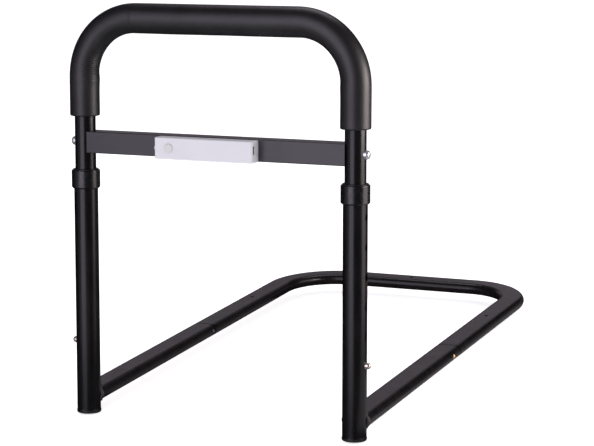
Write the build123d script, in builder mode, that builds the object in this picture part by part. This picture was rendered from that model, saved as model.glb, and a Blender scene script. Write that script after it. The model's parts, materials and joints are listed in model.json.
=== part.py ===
from build123d import *
import os
from math import cos, radians, sin

# Bed assist rail: a foam-gripped handle whose legs telescope in two posts, each post
# welded to a flat-oval arm, and a U frame that plugs into the arms and slides under a mattress.
# Millimetres. X runs across the rail, Y towards the middle of the bed, Z up.
# The origin is the middle of the footprint, at floor level. Heights on a post are measured
# along it from the arm's centre line; depths are measured square to the handle's plane.

# ---------------------------------------------------------------- driving dimensions
lean = 4.0               # the posts lean this many degrees towards the mattress
post_spacing = 309.0     # axis to axis
wall = 1.2               # every round and flat-oval tube
fit_gap = 0.05           # between parts that are glued, pressed or screwed together
running_gap = 0.1        # round a sliding leg

post_od = 25.4
post_top = 241.0
foot_drop = 19.1         # from the arm's centre line down to the sole of the foot
foot_thickness = 3.3
foot_edge = 1.5
foot_flange = 0.35       # the foot stands out this far beyond the tube
foot_lugs = 1.3          # height of the lugs that hold the foot off the tube

collar_bottom = 224.6
collar_r = 15.1
bush_lip = 3.2           # the bush stands this far above the post
bush_flange = 1.2

hole_pitch = 30.4
hole_count = 6
first_hole = 59.2
button_hole = 7.6
button_d = 6.9
button_root = 8.8        # from the leg's axis
button_tip = 18.0

leg_od = 22.2
leg_bottom = 34.0
handle_top = 405.5       # centre line of the top bar
handle_bend = 61.0
grip_od = 31.6
grip_bottom = {"left": 301.7, "right": 300.0}

crossbar_height = 22.8
crossbar_depth = 22.0
crossbar_wall = 1.5
crossbar_edge = 1.0
crossbar_middle = 274.6
crossbar_half = 147.0
screw_d = 6.0
screw_head_d = 9.6
screw_head_h = 4.4

light_size = (111.2, 22.6)
light_at = (-3.4, 273.95)
light_rear = 11.05       # in front of the plane through both posts
tray_depth = 3.2
light_front = 26.5
light_wall = 1.5
light_corner = 2.6
board_front = 20.5
board_thickness = 1.2
sensor_at = (-42.6, 274.2)
usb_at = (22.2, 275.8)    # depth, height
switch_depth = 22.35
switch_hole = (3.0, 6.6)
switch_knob = (2.4, 3.0)

arm_width = 31.0
arm_thickness = 14.0
arm_start = 4.0          # the arm's flanks wrap the post to here
seam = 282.0             # where the U frame meets the arms, measured back from the posts
seam_gap = 1.8
frame_reach = 577.0      # from the posts to the centre line of the back bar
frame_bend = 71.0
spigot_front = 232.0
spigot_rear = 325.0
sliding_gap = 0.35
vent_hole = 5.0
vent_hole_reach = 420.0
frame_button_at = {"left": 276.5, "right": 262.0}
frame_button_d = 5.8
frame_button_hole = 6.6
frame_button_root = 11.4
frame_button_tip = 16.6

SIDES = {"left": -1, "right": 1}

# ---------------------------------------------------------------- derived dimensions
tilt = radians(lean)
half = post_spacing / 2
post_r = post_od / 2
leg_r = leg_od / 2
foot_r = post_r + foot_flange
foot_core = foot_r - foot_edge
arm_height = (foot_drop - foot_edge) * cos(tilt) + foot_core * sin(tilt) + foot_edge
front_reach = foot_core * cos(tilt) + (foot_drop - foot_edge) * sin(tilt) + foot_edge
rear_reach = frame_reach + arm_width / 2
post_y = (front_reach - rear_reach) / 2
tube_bottom = foot_thickness + foot_lugs - foot_drop
crossbar_bore = (crossbar_depth - 2 * crossbar_wall, crossbar_height - 2 * crossbar_wall)
arm_bore = (arm_width - 2 * wall, arm_thickness - 2 * wall)
snug_size = (arm_bore[0] - 2 * fit_gap, arm_bore[1] - 2 * fit_gap)
loose_size = (arm_bore[0] - 2 * sliding_gap, arm_bore[1] - 2 * sliding_gap)
spigot_bore = (loose_size[0] - 2 * wall, loose_size[1] - 2 * wall)

UP = Vector(0, sin(tilt), cos(tilt))
BACK = Vector(0, cos(tilt), -sin(tilt))
RIGHT = Vector(1, 0, 0)


def hip(x):
    """The point where the post's axis at x meets the arm's centre line."""
    return Vector(x, post_y, arm_height)


def across(height, x=0.0):
    """A plane square to the posts; its X is right and its Y is back."""
    return Plane(origin=hip(x) + UP * height, x_dir=RIGHT, z_dir=UP)


def facing(depth):
    """A plane parallel to the handle, depth in front of it; its X is right and its Y is up."""
    return Plane(origin=hip(0) - BACK * depth, x_dir=RIGHT, z_dir=-BACK)


def outward(x, height, side, depth=0.0):
    """A plane at x that faces outwards on that side; its X is back on the right, its Y is up."""
    point = hip(x) + UP * height - BACK * depth
    return Plane(origin=point, x_dir=BACK * side, z_dir=RIGHT * side)


def clip_plane(x, height, side):
    """The plane through both posts at x; its X points outwards on that side."""
    return Plane(origin=hip(x) + UP * height, x_dir=RIGHT * side, z_dir=-BACK * side)


def arm_section(distance, x=0.0):
    """A plane square to an arm and facing forwards; its X is right and its Y is up."""
    point = Vector(x, post_y + distance, arm_height)
    return Plane(origin=point, x_dir=RIGHT, z_dir=(0, -1, 0))


def arm_flank(distance, x, offset=0.0):
    """A plane that faces +X beside an arm's centre line; its X is back and its Y is up."""
    point = Vector(x + offset, post_y + distance, arm_height)
    return Plane(origin=point, x_dir=(0, 1, 0), z_dir=RIGHT)


def frame_plan(x=0.0, distance=0.0, height=0.0):
    """A level plane; its X is right and its Y is back."""
    return Plane(origin=Vector(x, post_y + distance, arm_height + height))


def finish(part, name):
    part.label = name
    export_step(part, f"parts/{name}.step")


os.makedirs("parts", exist_ok=True)

# ================================================================ base: posts and arms
for name, side in SIDES.items():
    x = side * half

    with BuildPart() as post:
        with BuildSketch(across(tube_bottom, x)):
            Circle(post_r)
            Circle(post_r - wall, mode=Mode.SUBTRACT)
        extrude(amount=post_top - tube_bottom)
        for step in range(hole_count):
            with BuildSketch(outward(x, first_hole + step * hole_pitch, side)):
                Circle(button_hole / 2)
            extrude(amount=post_od, mode=Mode.SUBTRACT)
    finish(post.part, f"post_{name}")

    with BuildPart() as front_arm:
        with BuildSketch(arm_section(seam, x)):
            SlotOverall(arm_width, arm_thickness)
            SlotOverall(*arm_bore, mode=Mode.SUBTRACT)
        extrude(amount=seam - arm_start)
        with BuildSketch(across(-40, x)):
            Circle(post_r)
        extrude(amount=80, mode=Mode.SUBTRACT)
        with BuildSketch(arm_flank(frame_button_at[name], x)):
            Circle(frame_button_hole / 2)
        extrude(amount=arm_width, mode=Mode.SUBTRACT)
    finish(front_arm.part, f"front_arm_{name}")

    # the bead fills the corner between arm and post and closes the ends of the arm's flanks
    with BuildPart() as weld:
        with BuildSketch(arm_section(post_r + 4, x)):
            SlotOverall(arm_width + 5, arm_thickness + 5)
        extrude(amount=post_r + 4 - arm_start + 2.5)
        with BuildSketch(arm_section(post_r + 4, x)):
            SlotOverall(arm_width, arm_thickness)
        extrude(amount=post_r + 4 - arm_start, mode=Mode.SUBTRACT)
        with BuildSketch(across(-40, x)):
            Circle(post_r + 2.6)
        extrude(amount=80, mode=Mode.INTERSECT)
        with BuildSketch(across(-40, x)):
            Circle(post_r)
        extrude(amount=80, mode=Mode.SUBTRACT)
    finish(weld.part, f"weld_{name}")

    with BuildPart() as foot_plug:
        with BuildSketch(across(-foot_drop, x)):
            Circle(foot_r)
        extrude(amount=foot_thickness)
        fillet(foot_plug.edges().sort_by(Axis(hip(x), UP))[0], radius=foot_edge)
        with BuildSketch(across(foot_thickness - foot_drop, x)):
            Circle(post_r - wall - 0.6)
            with PolarLocations(post_r - wall - 1, 3, start_angle=30):
                Rectangle(3.6, 4.0)
        extrude(amount=foot_lugs)
        with BuildSketch(across(tube_bottom, x)):
            Circle(post_r - wall - fit_gap)
            Circle(post_r - wall - 1.6, mode=Mode.SUBTRACT)
        extrude(amount=14.0)
    finish(foot_plug.part, f"foot_plug_{name}")

    with BuildPart() as guide_bush:
        with BuildSketch(across(post_top, x)):
            Circle(post_r - fit_gap)
            Circle(leg_r + running_gap, mode=Mode.SUBTRACT)
        extrude(amount=bush_lip)
        with BuildSketch(across(post_top + bush_lip, x)):
            Circle(post_r + 0.9)
            Circle(leg_r + running_gap, mode=Mode.SUBTRACT)
        extrude(amount=bush_flange)
        rims = guide_bush.edges().group_by(Axis(hip(x), UP))[-1]
        chamfer(rims.sort_by(SortBy.RADIUS)[-1], length=0.5)
    finish(guide_bush.part, f"guide_bush_{name}")

    with BuildPart() as collar:
        with BuildSketch(across(collar_bottom, x)):
            Circle(collar_r)
        extrude(amount=post_top + bush_lip - collar_bottom)
        fillet(collar.edges().sort_by(Axis(hip(x), UP))[-1], radius=1.1)
        chamfer(collar.edges().sort_by(Axis(hip(x), UP))[0], length=1.4)
        with BuildSketch(across(collar_bottom, x)):
            Circle(post_r)
        extrude(amount=post_top, mode=Mode.SUBTRACT)
    finish(collar.part, f"collar_{name}")

# ================================================================ rear frame
frame_legs = [(-half, seam + seam_gap), (-half, frame_reach), (half, frame_reach), (half, seam + seam_gap)]

with BuildPart() as rear_frame:
    with BuildLine(frame_plan()):
        FilletPolyline(*frame_legs, radius=frame_bend)
    with BuildSketch(arm_section(seam + seam_gap, -half)):
        SlotOverall(arm_width, arm_thickness)
        SlotOverall(*arm_bore, mode=Mode.SUBTRACT)
    sweep()
    with BuildSketch(frame_plan()):
        with Locations((-half, vent_hole_reach), (half, vent_hole_reach), (0, frame_reach)):
            Circle(vent_hole / 2)
    extrude(amount=arm_thickness, mode=Mode.SUBTRACT)
finish(rear_frame.part, "rear_frame")

for name, side in SIDES.items():
    x = side * half
    button_at = frame_button_at[name]

    with BuildPart() as spigot:
        with BuildSketch(arm_section(spigot_rear, x)):
            SlotOverall(*snug_size)
        extrude(amount=spigot_rear - seam - seam_gap)
        with BuildSketch(arm_section(spigot_rear, x)):
            SlotOverall(*loose_size)
        extrude(amount=spigot_rear - spigot_front)
        with BuildSketch(arm_section(spigot_rear, x)):
            SlotOverall(*spigot_bore)
        extrude(amount=spigot_rear - spigot_front, mode=Mode.SUBTRACT)
        with BuildSketch(arm_flank(button_at, x)):
            Circle(frame_button_hole / 2)
        extrude(amount=arm_width, mode=Mode.SUBTRACT)
    finish(spigot.part, f"spigot_{name}")

    # a sprung steel V: one limb carries the button, the other bears on the far flank
    with BuildPart() as frame_spring:
        with BuildSketch(frame_plan(x, button_at)):
            with BuildLine():
                clip = FilletPolyline(
                    (11.0, -8), (11.0, 7), (3.0, 36), (-3.0, 36), (-11.1, 0), (-11.1, -8), radius=2.6
                )
            trace(clip, line_width=0.7)
        extrude(amount=3.0, both=True)
    finish(frame_spring.part, f"frame_spring_{name}")

    with BuildPart() as frame_button:
        with BuildSketch(arm_flank(button_at, x, frame_button_root)):
            Circle(frame_button_d / 2)
        extrude(amount=frame_button_tip - frame_button_root)
        fillet(frame_button.edges().sort_by(Axis.X)[-1], radius=2.2)
    finish(frame_button.part, f"frame_button_{name}")

# ================================================================ handle
handle_legs = [(-half, leg_bottom), (-half, handle_top), (half, handle_top), (half, leg_bottom)]
grip_legs = [
    (-half, grip_bottom["left"]), (-half, handle_top), (half, handle_top), (half, grip_bottom["right"])
]

with BuildPart() as handle_tube:
    with BuildLine(facing(0)):
        FilletPolyline(*handle_legs, radius=handle_bend)
    with BuildSketch(across(leg_bottom, -half)):
        Circle(leg_r)
        Circle(leg_r - wall, mode=Mode.SUBTRACT)
    sweep()
    for side in SIDES.values():
        with BuildSketch(outward(side * half, first_hole, side)):
            Circle(button_hole / 2)
        extrude(amount=leg_od, mode=Mode.SUBTRACT)
        with BuildSketch(outward(side * half, crossbar_middle, side)):
            Circle(screw_d / 2 + 0.2)
        extrude(amount=leg_od, both=True, mode=Mode.SUBTRACT)
finish(handle_tube.part, "handle_tube")

with BuildPart() as foam_grip:
    with BuildLine(facing(0)):
        FilletPolyline(*grip_legs, radius=handle_bend)
    with BuildSketch(across(grip_bottom["left"], -half)):
        Circle(grip_od / 2)
        Circle(leg_r + fit_gap, mode=Mode.SUBTRACT)
    sweep()
    mouths = foam_grip.edges().sort_by(Axis(hip(0), UP))[:4]
    fillet(mouths.sort_by(SortBy.RADIUS)[-2:], radius=1.5)
finish(foam_grip.part, "foam_grip")

with BuildPart() as crossbar:
    with BuildSketch(outward(0, crossbar_middle, 1)):
        RectangleRounded(crossbar_depth, crossbar_height, crossbar_edge)
        RectangleRounded(*crossbar_bore, 0.5, mode=Mode.SUBTRACT)
    extrude(amount=crossbar_half, both=True)
    for side in SIDES.values():
        with BuildSketch(across(crossbar_middle - 20, side * half)):
            Circle(leg_r + fit_gap)
        extrude(amount=40, mode=Mode.SUBTRACT)
finish(crossbar.part, "crossbar")

for name, side in SIDES.items():
    x = side * half

    with BuildPart() as crossbar_nut:
        with BuildSketch(outward(side * 122, crossbar_middle, side)):
            RectangleRounded(crossbar_bore[0] - 2 * fit_gap, crossbar_bore[1] - 2 * fit_gap, 0.6)
            Circle(screw_d / 2 + fit_gap, mode=Mode.SUBTRACT)
        extrude(amount=20)
    finish(crossbar_nut.part, f"crossbar_nut_{name}")

    # the head's underside is saddled to the leg
    with BuildPart() as crossbar_screw:
        with BuildSketch(outward(x + side * (leg_r - 2), crossbar_middle, side)):
            Circle(screw_head_d / 2)
        extrude(amount=2 + screw_head_h)
        fillet(crossbar_screw.edges().sort_by(Axis(hip(0), RIGHT * side))[-1], radius=3.4)
        with BuildSketch(across(crossbar_middle - 20, x)):
            Circle(leg_r + fit_gap)
        extrude(amount=40, mode=Mode.SUBTRACT)
        with BuildSketch(outward(x + side * (leg_r + screw_head_h), crossbar_middle, side)):
            Rectangle(4.6, 1.1)
            Rectangle(1.1, 4.6)
        extrude(amount=-2.0, mode=Mode.SUBTRACT)
        with BuildSketch(outward(side * 126, crossbar_middle, side)):
            Circle(screw_d / 2)
        extrude(amount=half + leg_r + 0.8 - 126)
    finish(crossbar_screw.part, f"crossbar_screw_{name}")

    with BuildPart() as leg_glide:
        with BuildSketch(across(leg_bottom - 3, x)):
            Circle(leg_r + 0.32)
        extrude(amount=3 - fit_gap)
        chamfer(leg_glide.edges().sort_by(Axis(hip(0), UP))[0], length=0.8)
        with BuildSketch(across(leg_bottom - fit_gap, x)):
            Circle(leg_r - wall - fit_gap)
            Circle(leg_r - wall - 1.8, mode=Mode.SUBTRACT)
        extrude(amount=12)
    finish(leg_glide.part, f"leg_glide_{name}")

    with BuildPart() as height_spring:
        with BuildSketch(clip_plane(x, first_hole, side)):
            with BuildLine():
                clip = FilletPolyline(
                    (8.4, -8), (8.4, 9), (2.6, 41), (-2.6, 41), (-8.6, 0), (-8.6, -8), radius=2.4
                )
            trace(clip, line_width=0.7)
        extrude(amount=4.0, both=True)
    finish(height_spring.part, f"height_spring_{name}")

    with BuildPart() as height_button:
        with BuildSketch(outward(x + side * button_root, first_hole, side)):
            Circle(button_d / 2)
        extrude(amount=button_tip - button_root)
        fillet(height_button.edges().sort_by(Axis(hip(0), RIGHT * side))[-1], radius=3.3)
    finish(height_button.part, f"height_button_{name}")

# ================================================================ motion-sensing light
left_end = light_at[0] - light_size[0] / 2
right_end = light_at[0] + light_size[0] / 2
cover_rear = light_rear + tray_depth
tray_floor = light_rear + 1.6
inside = light_front - light_wall
board_rear = board_front - board_thickness

with BuildPart() as light_housing:
    with BuildSketch(facing(light_rear)):
        with Locations(light_at):
            RectangleRounded(*light_size, 1.2)
    extrude(amount=tray_depth)
    with BuildSketch(facing(tray_floor)):
        with Locations(light_at):
            RectangleRounded(light_size[0] - 3.2, light_size[1] - 3.2, 0.8)
    extrude(amount=tray_depth, mode=Mode.SUBTRACT)
    with BuildSketch(facing(tray_floor)):
        with Locations((light_at[0] - 48, light_at[1]), (light_at[0] + 48, light_at[1])):
            Circle(1.8)
    extrude(amount=board_rear - fit_gap - tray_floor)
finish(light_housing.part, "light_housing")

with BuildPart() as light_diffuser:
    with BuildSketch(across(light_at[1] - light_size[1] / 2)):
        with BuildLine():
            outline = FilletPolyline(
                (left_end, -cover_rear),
                (left_end, -light_front),
                (right_end, -light_front),
                (right_end, -cover_rear),
                radius=light_corner,
            )
            Line(outline @ 1, outline @ 0)
        make_face()
    extrude(amount=light_size[1])
    ends = light_diffuser.faces().sort_by(Axis(hip(0), UP))
    for end in (ends[0], ends[-1]):
        fillet(end.edges().sort_by(Axis(hip(0), BACK))[:-1], radius=1.2)
    with BuildSketch(facing(cover_rear)):
        with Locations(light_at):
            RectangleRounded(light_size[0] - 2 * light_wall, light_size[1] - 2 * light_wall, 0.8)
    extrude(amount=inside - cover_rear, mode=Mode.SUBTRACT)
    with BuildSketch(facing(cover_rear)):
        with Locations(sensor_at):
            Circle(5.0)
    extrude(amount=light_front, mode=Mode.SUBTRACT)
    with BuildSketch(outward(right_end, usb_at[1], 1, usb_at[0])):
        SlotOverall(9.4, 3.7, rotation=90)
    extrude(amount=-3 * light_wall, mode=Mode.SUBTRACT)
    with BuildSketch(outward(left_end, light_at[1], -1, switch_depth)):
        Rectangle(*switch_hole)
    extrude(amount=-2 * light_wall, mode=Mode.SUBTRACT)
finish(light_diffuser.part, "light_diffuser")

with BuildPart() as sensor_lens:
    with BuildSketch(facing(inside - 1.2)):
        with Locations(sensor_at):
            Circle(6.2)
    extrude(amount=1.2 - fit_gap)
    with BuildSketch(facing(inside - 1.2)):
        with Locations(sensor_at):
            Circle(4.9)
    extrude(amount=1.2 + light_wall + 0.9)
    fillet(sensor_lens.edges().sort_by(Axis(hip(0), BACK))[0], radius=0.8)
finish(sensor_lens.part, "sensor_lens")

with BuildPart() as motion_sensor:
    with BuildSketch(facing(board_front + fit_gap)):
        with Locations(sensor_at):
            Circle(4.6)
    extrude(amount=0.4)
    with BuildSketch(facing(board_front + fit_gap)):
        with Locations(sensor_at):
            Circle(4.1)
    extrude(amount=2.8)
finish(motion_sensor.part, "motion_sensor")

with BuildPart() as led_board:
    with BuildSketch(facing(board_rear)):
        with Locations(light_at):
            Rectangle(104, 16)
    extrude(amount=board_thickness)
finish(led_board.part, "led_board")

with BuildPart() as leds:
    with BuildSketch(facing(board_front + fit_gap)):
        with Locations((4.0, light_at[1])):
            with GridLocations(6.4, 1, 11, 1):
                Rectangle(2.8, 3.5)
    extrude(amount=0.8)
finish(leds.part, "leds")

with BuildPart() as light_battery:
    with BuildSketch(facing(tray_floor + fit_gap)):
        with Locations(light_at):
            RectangleRounded(45, 14, 1.4)
    extrude(amount=5.6)
finish(light_battery.part, "light_battery")

with BuildPart() as light_magnets:
    with BuildSketch(facing(tray_floor + fit_gap)):
        with Locations((light_at[0] - 36, light_at[1]), (light_at[0] + 36, light_at[1])):
            Circle(5)
    extrude(amount=2.0)
finish(light_magnets.part, "light_magnets")

# a folded steel shell round a tongue, lying on its long edge against the board
with BuildPart() as usb_port:
    with BuildSketch(outward(right_end - 0.6, usb_at[1], 1, usb_at[0])):
        SlotOverall(8.94, 3.26, rotation=90)
    extrude(amount=-7.3)
    with BuildSketch(outward(right_end - 0.6, usb_at[1], 1, usb_at[0])):
        SlotOverall(8.34, 2.66, rotation=90)
    extrude(amount=-6.5, mode=Mode.SUBTRACT)
    with BuildSketch(outward(right_end - 2.2, usb_at[1], 1, usb_at[0])):
        Rectangle(0.7, 6.7)
    extrude(amount=-5.3)
finish(usb_port.part, "usb_port")

with BuildPart() as switch_case:
    with BuildSketch(outward(left_end + 1.9, light_at[1], -1, switch_depth)):
        Rectangle(3.6, 8.0)
    extrude(amount=-3.0)
finish(switch_case.part, "switch_case")

with BuildPart() as mode_switch:
    with BuildSketch(outward(left_end + 1.85, light_at[1], -1, switch_depth)):
        Rectangle(*switch_knob)
    extrude(amount=3.1)
    fillet(mode_switch.edges().group_by(Axis.X)[0], radius=0.4)
finish(mode_switch.part, "mode_switch")
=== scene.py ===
import json
import math
from collections import namedtuple

import bpy
import numpy as np
from mathutils import Matrix, Vector, noise


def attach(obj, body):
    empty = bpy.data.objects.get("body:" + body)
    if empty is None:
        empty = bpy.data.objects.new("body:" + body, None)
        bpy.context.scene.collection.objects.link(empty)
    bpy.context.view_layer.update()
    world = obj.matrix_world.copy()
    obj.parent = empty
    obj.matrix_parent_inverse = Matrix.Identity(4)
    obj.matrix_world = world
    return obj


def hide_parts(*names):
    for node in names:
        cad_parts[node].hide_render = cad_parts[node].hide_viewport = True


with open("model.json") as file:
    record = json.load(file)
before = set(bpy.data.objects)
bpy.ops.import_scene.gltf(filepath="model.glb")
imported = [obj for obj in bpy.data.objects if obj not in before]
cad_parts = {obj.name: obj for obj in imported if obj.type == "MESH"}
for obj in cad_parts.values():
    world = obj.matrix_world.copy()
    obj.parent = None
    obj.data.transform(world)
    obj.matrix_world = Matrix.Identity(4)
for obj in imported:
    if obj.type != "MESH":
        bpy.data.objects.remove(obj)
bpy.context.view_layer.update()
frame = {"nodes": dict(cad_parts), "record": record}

# ---------------------------------------------------------------- the frame's own lines
# Lengths are in metres, as everywhere in the frame. A post's axis leans, and UP, RIGHT and BACK
# are the handle's own directions.
MM = 0.001
FOOT_DROP = 19.1 * MM          # from the arms' centre line down a post's axis to its sole

record = frame["record"]
joints = {j["name"]: j for j in record["behaviour"]["joints"]}
mounts = {m["name"]: m for m in record["mounts"]}
UP = Vector(joints["height_slide"]["axis"]).normalized()
RIGHT = Vector((1, 0, 0))
BACK = UP.cross(RIGHT)
if BACK.y < 0:
    BACK = -BACK
SOLE = {side: Vector(mounts[f"foot_sole_{side}"]["pos_m"]) for side in ("left", "right")}
MID_SOLE = (SOLE["left"] + SOLE["right"]) / 2
HALF = (SOLE["right"].x - SOLE["left"].x) / 2      # from the middle to a post's axis


def on_handle(x, height):
    """A point x from the middle, height up the posts from the arms' centre line."""
    return MID_SOLE + RIGHT * x + UP * (FOOT_DROP + height)


# ---------------------------------------------------------------- camera
CAMERA_YAW = math.radians(23.9674)       # to the left of +Y
CAMERA_PITCH = math.radians(12.0713)     # downwards
CAMERA_ROLL = math.radians(-1.605)
CAMERA_X = 0.94593
CAMERA_BEFORE_POSTS = 1.91044            # along Y, from the post axes at the arms' height
CAMERA_Z = 0.67101
CAMERA_LENS_MM = 128.059
CAMERA_SENSOR_MM = 36
CAMERA_CLIP_END = 60


def make_camera():
    forward = Vector((
        -math.sin(CAMERA_YAW) * math.cos(CAMERA_PITCH),
        math.cos(CAMERA_YAW) * math.cos(CAMERA_PITCH),
        -math.sin(CAMERA_PITCH),
    ))
    level = Vector((math.cos(CAMERA_YAW), math.sin(CAMERA_YAW), 0))
    over = level.cross(forward)
    right = level * math.cos(CAMERA_ROLL) + over * math.sin(CAMERA_ROLL)
    up = right.cross(forward)
    data = bpy.data.cameras.new("Camera")
    data.sensor_width = CAMERA_SENSOR_MM
    data.lens = CAMERA_LENS_MM
    data.clip_end = CAMERA_CLIP_END
    cam = bpy.data.objects.new("Camera", data)
    place = Vector((CAMERA_X, on_handle(0, 0).y - CAMERA_BEFORE_POSTS, CAMERA_Z))
    cam.matrix_world = Matrix((
        (right.x, up.x, -forward.x, place.x),
        (right.y, up.y, -forward.y, place.y),
        (right.z, up.z, -forward.z, place.z),
        (0, 0, 0, 1),
    ))
    bpy.context.collection.objects.link(cam)
    bpy.context.scene.camera = cam


make_camera()


# ---------------------------------------------------------------- materials
class Graph:
    """A principled material whose colour, roughness and bump come from noise in object space."""

    def __init__(self, name, color, rough, metallic=0.0, specular=0.5):
        self.mat = bpy.data.materials.new(name)
        self.mat.use_nodes = True
        self.tree = self.mat.node_tree
        self.shader = self.tree.nodes["Principled BSDF"]
        self.shader.inputs["Base Color"].default_value = (*color, 1)
        self.shader.inputs["Roughness"].default_value = rough
        self.shader.inputs["Metallic"].default_value = metallic
        self.shader.inputs["Specular IOR Level"].default_value = specular
        self.coords = self.tree.nodes.new("ShaderNodeTexCoord").outputs["Object"]
        self.normal = None

    def link(self, a, b):
        self.tree.links.new(a, b)

    def stretched(self, scale):
        node = self.tree.nodes.new("ShaderNodeMapping")
        node.inputs["Scale"].default_value = scale
        self.link(self.coords, node.inputs["Vector"])
        return node.outputs["Vector"]

    def noise(self, scale, detail=3.0, rough=0.55, coords=None):
        node = self.tree.nodes.new("ShaderNodeTexNoise")
        node.inputs["Scale"].default_value = scale
        node.inputs["Detail"].default_value = detail
        node.inputs["Roughness"].default_value = rough
        self.link(coords or self.coords, node.inputs["Vector"])
        return node.outputs["Fac"]

    def cells(self, scale):
        node = self.tree.nodes.new("ShaderNodeTexVoronoi")
        node.inputs["Scale"].default_value = scale
        self.link(self.coords, node.inputs["Vector"])
        return node.outputs["Distance"]

    def tint(self, value, low, high, dark, light):
        """Base colour from dark at value low to light at value high."""
        node = self.tree.nodes.new("ShaderNodeValToRGB")
        node.color_ramp.elements[0].position = low
        node.color_ramp.elements[0].color = (*dark, 1)
        node.color_ramp.elements[1].position = high
        node.color_ramp.elements[1].color = (*light, 1)
        self.link(value, node.inputs["Fac"])
        self.link(node.outputs["Color"], self.shader.inputs["Base Color"])

    def roughen(self, value, low, high, smooth, rough):
        """Roughness from smooth at value low to rough at value high."""
        node = self.tree.nodes.new("ShaderNodeMapRange")
        ends = {"From Min": low, "From Max": high, "To Min": smooth, "To Max": rough}
        for key, number in ends.items():
            node.inputs[key].default_value = number
        self.link(value, node.inputs["Value"])
        self.link(node.outputs["Result"], self.shader.inputs["Roughness"])

    def bump(self, height, strength, distance):
        """One more layer of bump, on top of those before it."""
        node = self.tree.nodes.new("ShaderNodeBump")
        node.inputs["Strength"].default_value = strength
        node.inputs["Distance"].default_value = distance
        self.link(height, node.inputs["Height"])
        if self.normal:
            self.link(self.normal, node.inputs["Normal"])
        self.normal = node.outputs["Normal"]
        self.link(self.normal, self.shader.inputs["Normal"])

    def set(self, **values):
        for key, value in values.items():
            self.shader.inputs[key.replace("_", " ")].default_value = value


def scaled(color, k):
    return tuple(min(1.0, c * k) for c in color)


def powder_coat(name, color, rough, peel, specular=0.5):
    """Black paint with a faint orange peel."""
    g = Graph(name, color, rough, specular=specular)
    g.tint(g.noise(30, 4), 0.35, 0.70, scaled(color, 0.80), scaled(color, 1.22))
    g.roughen(g.noise(60, 4), 0.30, 0.72, rough - 0.02, rough + 0.025)
    g.bump(g.noise(520, 3, 0.5), peel, 0.00004)
    g.bump(g.noise(2600, 2, 0.5), 0.10, 0.00003)
    return g.mat


def moulded(name, color, rough, grain, depth, specular=0.45):
    """Plastic with a moulded grain: grain is its cells to the metre, depth its bump's strength."""
    g = Graph(name, color, rough, specular=specular)
    g.tint(g.noise(60, 3), 0.35, 0.7, scaled(color, 0.85), scaled(color, 1.15))
    g.roughen(g.noise(200, 4), 0.3, 0.7, rough - 0.05, rough + 0.06)
    g.bump(g.cells(grain), depth, 0.00008)
    return g.mat


def foam_rubber(name):
    """Soft foam: slow dents, closed cells and a fine skin."""
    color = (0.0085, 0.0080, 0.0095)
    g = Graph(name, color, 0.41, specular=0.64)
    g.tint(g.noise(45, 5, 0.6), 0.32, 0.72, scaled(color, 0.78), scaled(color, 1.25))
    g.roughen(g.noise(600, 4), 0.3, 0.7, 0.37, 0.45)
    g.bump(g.noise(90, 4, 0.6), 0.15, 0.0003)
    g.bump(g.cells(1500), 0.35, 0.00012)
    g.bump(g.noise(4200, 2), 0.25, 0.00005)
    return g.mat


def bright_metal(name, color, rough, brushed=(1, 1, 1), metallic=1.0):
    """Plated or bare metal with fine scratches, which brushed packs closer along an axis."""
    g = Graph(name, color, rough, metallic=metallic)
    scratches = g.noise(900, 4, coords=g.stretched(brushed))
    g.roughen(scratches, 0.3, 0.7, rough * 0.7, rough * 1.5)
    g.tint(g.noise(150, 3), 0.3, 0.75, scaled(color, 0.88), scaled(color, 1.05))
    g.bump(scratches, 0.12, 0.00004)
    return g.mat


def frosted(name, color, rough, glow):
    """Milky plastic that scatters light under its skin, as much as glow says."""
    g = Graph(name, color, rough)
    g.tint(g.noise(25, 3), 0.3, 0.75, scaled(color, 0.965), scaled(color, 1.0))
    g.roughen(g.noise(300, 4), 0.3, 0.7, rough - 0.04, rough + 0.05)
    g.bump(g.noise(1500, 3), 0.10, 0.00005)
    g.set(Subsurface_Weight=glow, Subsurface_Scale=0.004, Subsurface_Radius=(1.0, 0.95, 1.0))
    return g.mat


def circuit_board(name):
    """White lacquer with the shadows of the tracks under it."""
    g = Graph(name, (0.70, 0.72, 0.70), 0.35)
    tracks = g.noise(260, 2, coords=g.stretched((1, 0.2, 4)))
    g.tint(tracks, 0.46, 0.54, (0.55, 0.58, 0.56), (0.80, 0.82, 0.80))
    g.bump(g.noise(900, 2), 0.2, 0.0001)
    return g.mat


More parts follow.
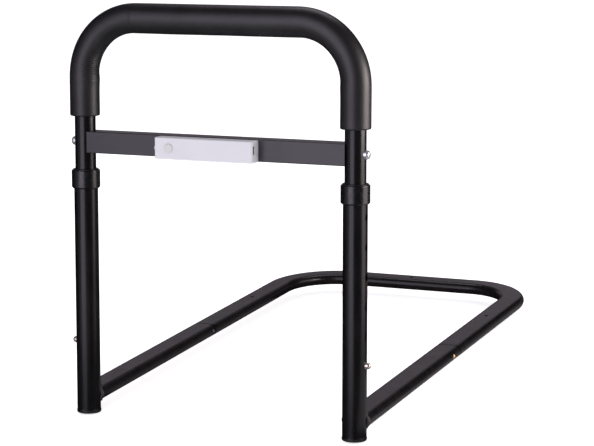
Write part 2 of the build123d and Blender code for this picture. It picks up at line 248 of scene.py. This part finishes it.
# the materials by key, and below them the CAD nodes that have each; make_mesh takes a key too
MATERIALS = {
    "gloss_coat": powder_coat(
        "gloss_powder_coat", (0.0034, 0.0032, 0.0037), rough=0.25, peel=0.2),
    "satin_coat": powder_coat(
        "satin_powder_coat", (0.0152, 0.0139, 0.0174), rough=0.33, peel=0.3, specular=0.66),
    "arm_coat": powder_coat(
        "arm_powder_coat", (0.0056, 0.0044, 0.0052), rough=0.28, peel=0.15),
    # the arms' black paint lightened to grey for the weld beads: painted light on their downward
    # faces
    "weld_painted_light_coat": powder_coat(
        "weld_powder_coat_painted_light", (0.026, 0.023, 0.026), rough=0.42, peel=0.3),
    "spigot_coat": powder_coat(
        "spigot_powder_coat", (0.0030, 0.0028, 0.0032), rough=0.50, peel=0.35, specular=0.2),
    "black_plastic": moulded(
        "black_polyethylene", (0.0038, 0.0037, 0.0045), rough=0.27, grain=1800, depth=0.15,
        specular=0.75),
    # the collars' black plastic made lighter for the foot plugs: a painted reflection for the
    # bright rim round their feet
    "foot_plug_painted_sheen": moulded(
        "foot_plug_plastic_painted_sheen", (0.0100, 0.0096, 0.0108), rough=0.32, grain=1800, depth=0.12,
        specular=0.7),
    "bush_plastic": moulded(
        "black_acetal", (0.0100, 0.0100, 0.0110), rough=0.30, grain=2600, depth=0.12),
    "foam": foam_rubber("foam_rubber"),
    "chrome": bright_metal("chrome_plate", (0.84, 0.85, 0.90), rough=0.27, metallic=0.88),
    "nickel": bright_metal("nickel_plate", (0.78, 0.72, 0.66), rough=0.20, metallic=0.85),
    "brass": bright_metal("brass_plate", (0.80, 0.56, 0.30), rough=0.24, metallic=0.9),
    # a dark steel for the left frame button alone: painted shade, so it reads dim in its hole
    "button_steel_painted_shade": bright_metal("left_button_steel_painted_shade", (0.16, 0.16, 0.18), rough=0.42),
    "spring_steel": bright_metal(
        "spring_steel", (0.52, 0.52, 0.54), rough=0.30, brushed=(1, 8, 1)),
    "zinc": bright_metal("zinc_plate", (0.60, 0.61, 0.63), rough=0.34),
    "tray": moulded("grey_plastic", (0.50, 0.49, 0.55), rough=0.40, grain=2400, depth=0.12),
    "diffuser": frosted("opal_plastic", (0.530, 0.529, 0.560), rough=0.34, glow=0.35),
    "lens": frosted("opal_lens", (0.482, 0.472, 0.474), rough=0.22, glow=0.5),
    "board": circuit_board("white_circuit_board"),
    "phosphor": moulded("led_phosphor", (0.80, 0.62, 0.16), rough=0.40, grain=5200, depth=0.2),
    "cell": moulded("battery_wrap", (0.30, 0.33, 0.40), rough=0.30, grain=700, depth=0.1),
    "switch": moulded("switch_plastic", (0.62, 0.61, 0.66), rough=0.38, grain=3000, depth=0.1),
}

NODE_MATERIALS = {
    "gloss_coat": ("post_left", "post_right", "handle_tube"),
    "weld_painted_light_coat": ("weld_left", "weld_right"),
    "satin_coat": ("crossbar",),
    "arm_coat": ("front_arm_left", "front_arm_right", "rear_frame"),
    "spigot_coat": ("spigot_left", "spigot_right"),
    "black_plastic": ("collar_left", "collar_right"),
    # the foot plugs take the lightened plastic, a painted reflection
    "foot_plug_painted_sheen": ("foot_plug_left", "foot_plug_right"),
    "bush_plastic": ("guide_bush_left", "guide_bush_right", "leg_glide_left", "leg_glide_right"),
    "foam": ("foam_grip",),
    "chrome": ("crossbar_screw_left", "crossbar_screw_right", "light_magnets"),
    "nickel": ("height_button_left", "height_button_right"),
    "brass": ("frame_button_right",),
    # the left frame button's steel is darkened: painted shade
    "button_steel_painted_shade": ("frame_button_left",),
    "spring_steel": (
        "height_spring_left", "height_spring_right", "frame_spring_left", "frame_spring_right",
        "motion_sensor", "usb_port",
    ),
    "zinc": ("crossbar_nut_left", "crossbar_nut_right"),
    "tray": ("light_housing",),
    "diffuser": ("light_diffuser",),
    "lens": ("sensor_lens",),
    "board": ("led_board",),
    "phosphor": ("leds",),
    "cell": ("light_battery",),
    "switch": ("switch_case", "mode_switch"),
}
for key, names in NODE_MATERIALS.items():
    for name in names:
        for slot in frame["nodes"][name].material_slots:
            slot.material = MATERIALS[key]


# ---------------------------------------------------------------- mesh helpers
def make_mesh(name, verts, faces, material):
    mesh = bpy.data.meshes.new(name)
    mesh.from_pydata([tuple(v) for v in verts], [], faces)
    mesh.polygons.foreach_set("use_smooth", [True] * len(mesh.polygons))
    mesh.update()
    obj = bpy.data.objects.new(name, mesh)
    obj.data.materials.append(MATERIALS[material])
    bpy.context.collection.objects.link(obj)
    return obj


def closed_skin(rings, ring):
    """Faces between rings of points, the last ring joined to the first."""
    faces = []
    for i in range(rings):
        a, b = i * ring, ((i + 1) % rings) * ring
        for j in range(ring):
            k = (j + 1) % ring
            faces.append((a + j, a + k, b + k, b + j))
    return faces


# ---------------------------------------------------------------- foam grip
GRIP_R = 15.8 * MM
BORE_R = 11.16 * MM
END_ROUND = 1.5 * MM
MOUTH_LEFT = 301.7 * MM        # heights, as on_handle takes them
MOUTH_RIGHT = 300.0 * MM
BAR_HEIGHT = 405.5 * MM
BEND_R = 61.0 * MM
BEND_START = BAR_HEIGHT - BEND_R
ARC = BEND_R * math.pi / 2     # a bend's length along its centre line

# how close together the stations along the grip are, and the points round it
GRIP_RING = 96
MOUTH_STATIONS = 9
LEG_FIRST = 0.002
LEG_STEP = 0.0011
BEND_STEP = 0.00042
BAR_STEP = 0.0025
MIDDLE_GAP = 0.001             # the last step of each half stops this far from the middle
BEND_LEAD = 0.008              # the fine steps begin this far before the bend
BORE_EVERY = 6                 # the bore has every sixth station

# the foam's shape: how far it leaves a plain tube
DENT = 0.00016                 # slow unevenness all over
DENT_SCALE = 30
SQUEEZE_OUTSIDE = 0.00035      # thinner where it is drawn tight round a bend
SQUEEZE_INSIDE = 0.00030
CREASE_DEPTH = 0.00065
CREASE_PERIOD = 0.0026
CREASE_WOBBLE = 0.0011         # how far a crease strays from its line
CREASE_MIDDLE = 0.016          # past the bend's start
CREASE_SPREAD = 0.020
CREASE_FIRST = -0.012
SWELL = 0.00055                # a bulge on the inside, just before the creases
SWELL_MIDDLE = -0.004
SWELL_SPREAD = 0.007
FOLDS = {"left": 1.0, "right": 0.42}       # how strong creases and bulge are on each bend
SEEDS = {"left": 3.0, "right": 11.0}

# A place along the grip's centre line: x and height as on_handle takes them, the direction to
# the outside of the bend as (out_x, out_h), the distance from the mouth, how far round the bend
# it is (0 to 1, None on the straights), the distance past the bend's start, and its side.
Station = namedtuple("Station", "x height out_x out_h from_mouth turn past side")


def grip_station(from_mouth, mouth, side):
    """The station so far from the mouth: up the leg, round the bend, then along the bar."""
    past = from_mouth - (BEND_START - mouth)
    if past <= 0:
        x, height, out_x, out_h, turn = -HALF, mouth + from_mouth, -1.0, 0.0, None
    elif past <= ARC:
        angle = past / BEND_R
        out_x, out_h, turn = -math.cos(angle), math.sin(angle), past / ARC
        x, height = -HALF + BEND_R + BEND_R * out_x, BEND_START + BEND_R * out_h
    else:
        x, height, out_x, out_h, turn = -HALF + BEND_R + past - ARC, BAR_HEIGHT, 0.0, 1.0, None
    if side == "right":
        x, out_x = -x, -out_x
    return Station(x, height, out_x, out_h, from_mouth, turn, past, side)


def grip_path():
    """Stations from the left mouth to the right one, close together where the foam creases."""
    path = []
    for side, mouth in (("left", MOUTH_LEFT), ("right", MOUTH_RIGHT)):
        straight = BEND_START - mouth
        bend_end = straight + ARC
        middle = bend_end + HALF - BEND_R
        marks = list(np.linspace(0, END_ROUND, MOUTH_STATIONS))
        marks += list(np.arange(LEG_FIRST, straight - BEND_LEAD, LEG_STEP))
        marks += list(np.arange(straight - BEND_LEAD, bend_end, BEND_STEP))
        marks += list(np.arange(bend_end, middle - MIDDLE_GAP, BAR_STEP))
        if side == "right":
            marks.reverse()
        path += [grip_station(mark, mouth, side) for mark in marks]
    return path


def crease(along, around, seed):
    """Short irregular creases across the inside of a bend, from 0 to 1 deep."""
    wobble = noise.noise(Vector((along * 90, around * 1.6, seed))) * CREASE_WOBBLE
    phase = (along + wobble) / CREASE_PERIOD
    lines = 0.5 + 0.5 * math.cos(2 * math.pi * phase)
    patch = 0.5 + 0.5 * noise.noise(Vector((along * 260, around * 2.2, seed + 7)))
    return (lines ** 2) * (0.35 + 0.65 * patch)


def hump(at, middle, spread):
    """A smooth bump of height 1 at middle, nearly nothing two spreads away."""
    return math.exp(-((at - middle) / spread) ** 2)


def grip_radius(s, t):
    """The foam's radius at station s, t radians round from the outside of the bend."""
    seed, folds = SEEDS[s.side], FOLDS[s.side]
    inner = max(0.0, -math.cos(t))
    r = GRIP_R
    if s.from_mouth < END_ROUND:
        k = 1 - s.from_mouth / END_ROUND
        r -= END_ROUND * (1 - math.sqrt(max(0.0, 1 - k * k)))
    r += DENT * noise.noise(Vector((s.x * DENT_SCALE, s.height * DENT_SCALE, t * 0.8 + seed)))
    if s.turn is not None:
        fade = math.sin(math.pi * min(1.0, s.turn)) ** 0.5
        r -= SQUEEZE_OUTSIDE * fade * (1 - inner)
        r -= SQUEEZE_INSIDE * fade * inner ** 2
    if s.past > CREASE_FIRST and inner > 0.02:
        span = hump(s.past, CREASE_MIDDLE, CREASE_SPREAD)
        lines = crease(s.past, math.sin(t), seed)
        r -= folds * CREASE_DEPTH * span * inner ** 0.7 * lines
    r += folds * SWELL * hump(s.past, SWELL_MIDDLE, SWELL_SPREAD) * inner ** 2
    return r


def grip_ring(s, radius):
    """Points round station s, radius(s, t) from the centre line."""
    centre = on_handle(s.x, s.height)
    normal = RIGHT * s.out_x + UP * s.out_h
    for j in range(GRIP_RING):
        t = 2 * math.pi * j / GRIP_RING
        yield centre + (normal * math.cos(t) + BACK * math.sin(t)) * radius(s, t)


def make_grip():
    """The foam sleeve: its skin, with creased bends, and its bore."""
    outside = grip_path()
    inside = [s for i, s in enumerate(outside) if i % BORE_EVERY == 0 or s.from_mouth == 0]
    verts = []
    for s in outside:
        verts += grip_ring(s, grip_radius)
    # the bore runs back from the right mouth to the left one, so the skin closes on itself
    for s in reversed(inside):
        verts += grip_ring(s, lambda s, t: BORE_R)
    faces = closed_skin(len(outside) + len(inside), GRIP_RING)
    grip = make_mesh("foam_grip_sleeve", verts, faces, "foam")
    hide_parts("foam_grip")
    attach(grip, "handle")


make_grip()


# ---------------------------------------------------------------- weld beads
ARM_WIDTH = 31.0 * MM
ARM_THICKNESS = 14.0 * MM
POST_R = 12.7 * MM
BEAD_R = 2.0 * MM
BEAD_RINGS = 260
BEAD_RING = 20
BEAD_OUTSIDE_ARM = 0.0006      # the bead's line, outside the arm's outline
BEAD_OFF_POST = 0.0008         # and in front of the post's skin
LEAST_REACH = 0.0036           # where the arm is wider than the post
RIPPLE = 2.3 * MM              # from one ripple to the next
RIPPLE_HEIGHT = 0.13           # of the bead's radius
RIPPLE_DRAG = 0.0006
UNEVENNESS = 0.05
UNEVENNESS_SCALE = 300
# on the arm's two rounded flanks the bead lies closer in and is thicker
FLANK_START = 0.009            # from the post's axis, in x
FLANK_WIDTH = 0.004
FLANK_TUCK = 0.0024
FLANK_SWELL = 0.1


def arm_outline(steps):
    """Points round the arm's flat oval, evenly spaced."""
    flat = ARM_WIDTH - ARM_THICKNESS
    r = ARM_THICKNESS / 2
    half_turn = math.pi * r
    length = 2 * flat + 2 * half_turn
    for i in range(steps):
        d = length * i / steps
        if d < flat:
            yield Vector((d - flat / 2, r))
        elif d < flat + half_turn:
            a = (d - flat) / r
            yield Vector((flat / 2 + r * math.sin(a), r * math.cos(a)))
        elif d < 2 * flat + half_turn:
            yield Vector((flat / 2 - (d - flat - half_turn), -r))
        else:
            a = (d - 2 * flat - half_turn) / r
            yield Vector((-flat / 2 - r * math.sin(a), -r * math.cos(a)))


def weld_line(hip):
    """The bead's middle, where the arm that starts at hip meets its leaning post."""
    lean = UP.y / UP.z
    line = []
    for p in arm_outline(BEAD_RINGS):
        grow = p.normalized() * BEAD_OUTSIDE_ARM
        x, z = p.x + grow.x, p.y + grow.y
        reach = math.sqrt(max(POST_R ** 2 - x * x, 0.0))
        y = max(reach, LEAST_REACH) + BEAD_OFF_POST
        line.append(hip + Vector((x, y + z * lean, z)))
    return line


def make_weld(side):
    """A bead with the ripples of a hand-made weld."""
    hip = SOLE[side] + UP * FOOT_DROP
    line = weld_line(hip)
    verts = []
    travel = 0.0
    for i, point in enumerate(line):
        ahead, behind = line[(i + 1) % BEAD_RINGS], line[i - 1]
        along = (ahead - behind).normalized()
        out = point - (hip + Vector((0, point.y - hip.y, 0)))
        out = (out - along * out.dot(along)).normalized()
        cross = along.cross(out).normalized()
        travel += (ahead - point).length
        wave = (travel / RIPPLE) % 1.0
        flank = (abs(point.x - hip.x) - FLANK_START) / FLANK_WIDTH
        flank = min(1.0, max(0.0, flank))
        point = point - out * (FLANK_TUCK * flank)
        swell = 1.0 + RIPPLE_HEIGHT * math.sin(math.pi * wave)
        swell += UNEVENNESS * (noise.noise(point * UNEVENNESS_SCALE) - 1)
        radius = BEAD_R * swell * (1 + FLANK_SWELL * flank)
        drag = along * (RIPPLE_DRAG * math.sin(2 * math.pi * wave))
        for j in range(BEAD_RING):
            t = 2 * math.pi * j / BEAD_RING
            skin = (out * math.cos(t) + cross * math.sin(t)) * radius
            verts.append(point + drag * abs(math.cos(t)) + skin)
    faces = closed_skin(BEAD_RINGS, BEAD_RING)
    # the bead's paint is lightened to grey: painted light
    bead = make_mesh(f"weld_bead_{side}", verts, faces, "weld_painted_light_coat")
    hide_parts(f"weld_{side}")
    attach(bead, "base")


for side in ("left", "right"):
    make_weld(side)


# ---------------------------------------------------------------- stage
# The floor and the world lie outside every reflection. What the paint reflects is the area
# lights, which the camera doesn't see.
FLOOR_HALF = 60.0              # far enough for no edge to show from any side
FLOOR_COLOR = (0.93, 0.93, 0.94)
FLOOR_GLOW = 0.68
WORLD_STRENGTH = 0.62
OBJECT_MIDDLE = (0, -0.28, 0.24)
KEY_COLOR = (0.91, 0.85, 1.0)
CARD_COLOR = (1.0, 0.97, 1.0)
CARD_HEIGHT = 0.002            # above the floor


def floor_material():
    g = Graph("pale_floor", FLOOR_COLOR, 0.9, specular=0.1)
    g.tint(g.noise(1.5, 2), 0.3, 0.7, scaled(FLOOR_COLOR, 0.99), FLOOR_COLOR)
    g.set(Emission_Color=(*FLOOR_COLOR, 1), Emission_Strength=FLOOR_GLOW)
    return g.mat


def make_floor():
    size = FLOOR_HALF
    mesh = bpy.data.meshes.new("floor")
    corners = [(-size, -size, 0), (size, -size, 0), (size, size, 0), (-size, size, 0)]
    mesh.from_pydata(corners, [], [(0, 1, 2, 3)])
    floor = bpy.data.objects.new("floor", mesh)
    bpy.context.collection.objects.link(floor)
    mesh.materials.append(floor_material())
    floor.visible_glossy = False


def make_world():
    world = bpy.data.worlds.new("studio")
    world.use_nodes = True
    back = world.node_tree.nodes["Background"]
    back.inputs["Color"].default_value = (1.0, 1.0, 1.0, 1)
    back.inputs["Strength"].default_value = WORLD_STRENGTH
    world.cycles_visibility.glossy = False
    bpy.context.scene.world = world


def area_light(name, azimuth, elevation, distance, size, power, color, target=OBJECT_MIDDLE):
    """A rectangle, width by height, that faces its target.

    azimuth is measured from -Y towards +X, as seen from the target."""
    data = bpy.data.lights.new(name, "AREA")
    data.shape = "RECTANGLE"
    data.size, data.size_y = size
    data.energy = power
    data.color = color
    lamp = bpy.data.objects.new(name, data)
    a, e = math.radians(azimuth), math.radians(elevation)
    direction = Vector((math.sin(a) * math.cos(e), -math.cos(a) * math.cos(e), math.sin(e)))
    lamp.location = Vector(target) + direction * distance
    lamp.rotation_euler = (-direction).to_track_quat("-Z", "Y").to_euler()
    lamp.visible_camera = False
    bpy.context.collection.objects.link(lamp)
    return lamp


def floor_card(name, place, size, power):
    """A sheet of light lying on the floor, for what glossy paint sees of the floor close by."""
    lamp = area_light(name, 0, 90, CARD_HEIGHT, size, power, CARD_COLOR, target=(*place, 0))
    lamp.rotation_euler = (math.pi, 0, 0)


make_floor()
make_world()
# in front: the wide light that draws the long highlights, and its fainter neighbours
area_light("key", -12, 9, 2.4, (1.85, 1.7), 20.5, KEY_COLOR)
area_light("key_edge", -50, 9, 2.4, (1.5, 1.6), 1.7, KEY_COLOR)
area_light("key_top", -13, 38, 2.4, (1.9, 1.0), 7, (0.92, 0.86, 1.0))
# from the right: the warm second highlight, and two small lights close to the right leg and post
area_light("warm_side", 104, 13, 1.9, (1.6, 1.35), 6.8, (1.0, 0.93, 0.95))
area_light("near_side", 106, 0, 0.5, (0.38, 0.24), 2.1, (1.0, 0.88, 0.85),
           target=(0.1545, -0.27, 0.38))
area_light("near_low", 106, 0, 0.5, (0.38, 0.24), 0.37, (1.0, 0.90, 0.90),
           target=(0.1545, -0.27, 0.14))
# from behind: the sheen along the tops of the flat tubes
area_light("rear_top", 190, 55, 2.2, (1.3, 1.0), 8.0, (0.96, 0.88, 1.0))
area_light("rear_low", 204, 13.5, 3.2, (3.0, 0.85), 3.2, (0.98, 0.87, 1.0))
# from below: the sheen on the flanks of the arms and the frame
floor_card("floor_front", (-0.25, -1.1), (1.2, 0.9), 1.4)
floor_card("floor_right", (0.185, 0.02), (0.05, 0.58), 0.024)
floor_card("floor_side", (0.40, -0.22), (0.38, 0.30), 0.14)
floor_card("floor_middle", (-0.108, -0.02), (0.06, 0.44), 0.013)
floor_card("floor_corner", (0.31, 0.36), (0.22, 0.26), 0.045)
# low behind: the bend of the frame on the right
area_light("rear_corner", 180, 0, 0.62, (0.50, 0.10), 0.02, (1.0, 0.92, 1.0),
           target=(0.20, 0.0, 0.055))
bpy.context.scene.view_settings.view_transform = "Standard"
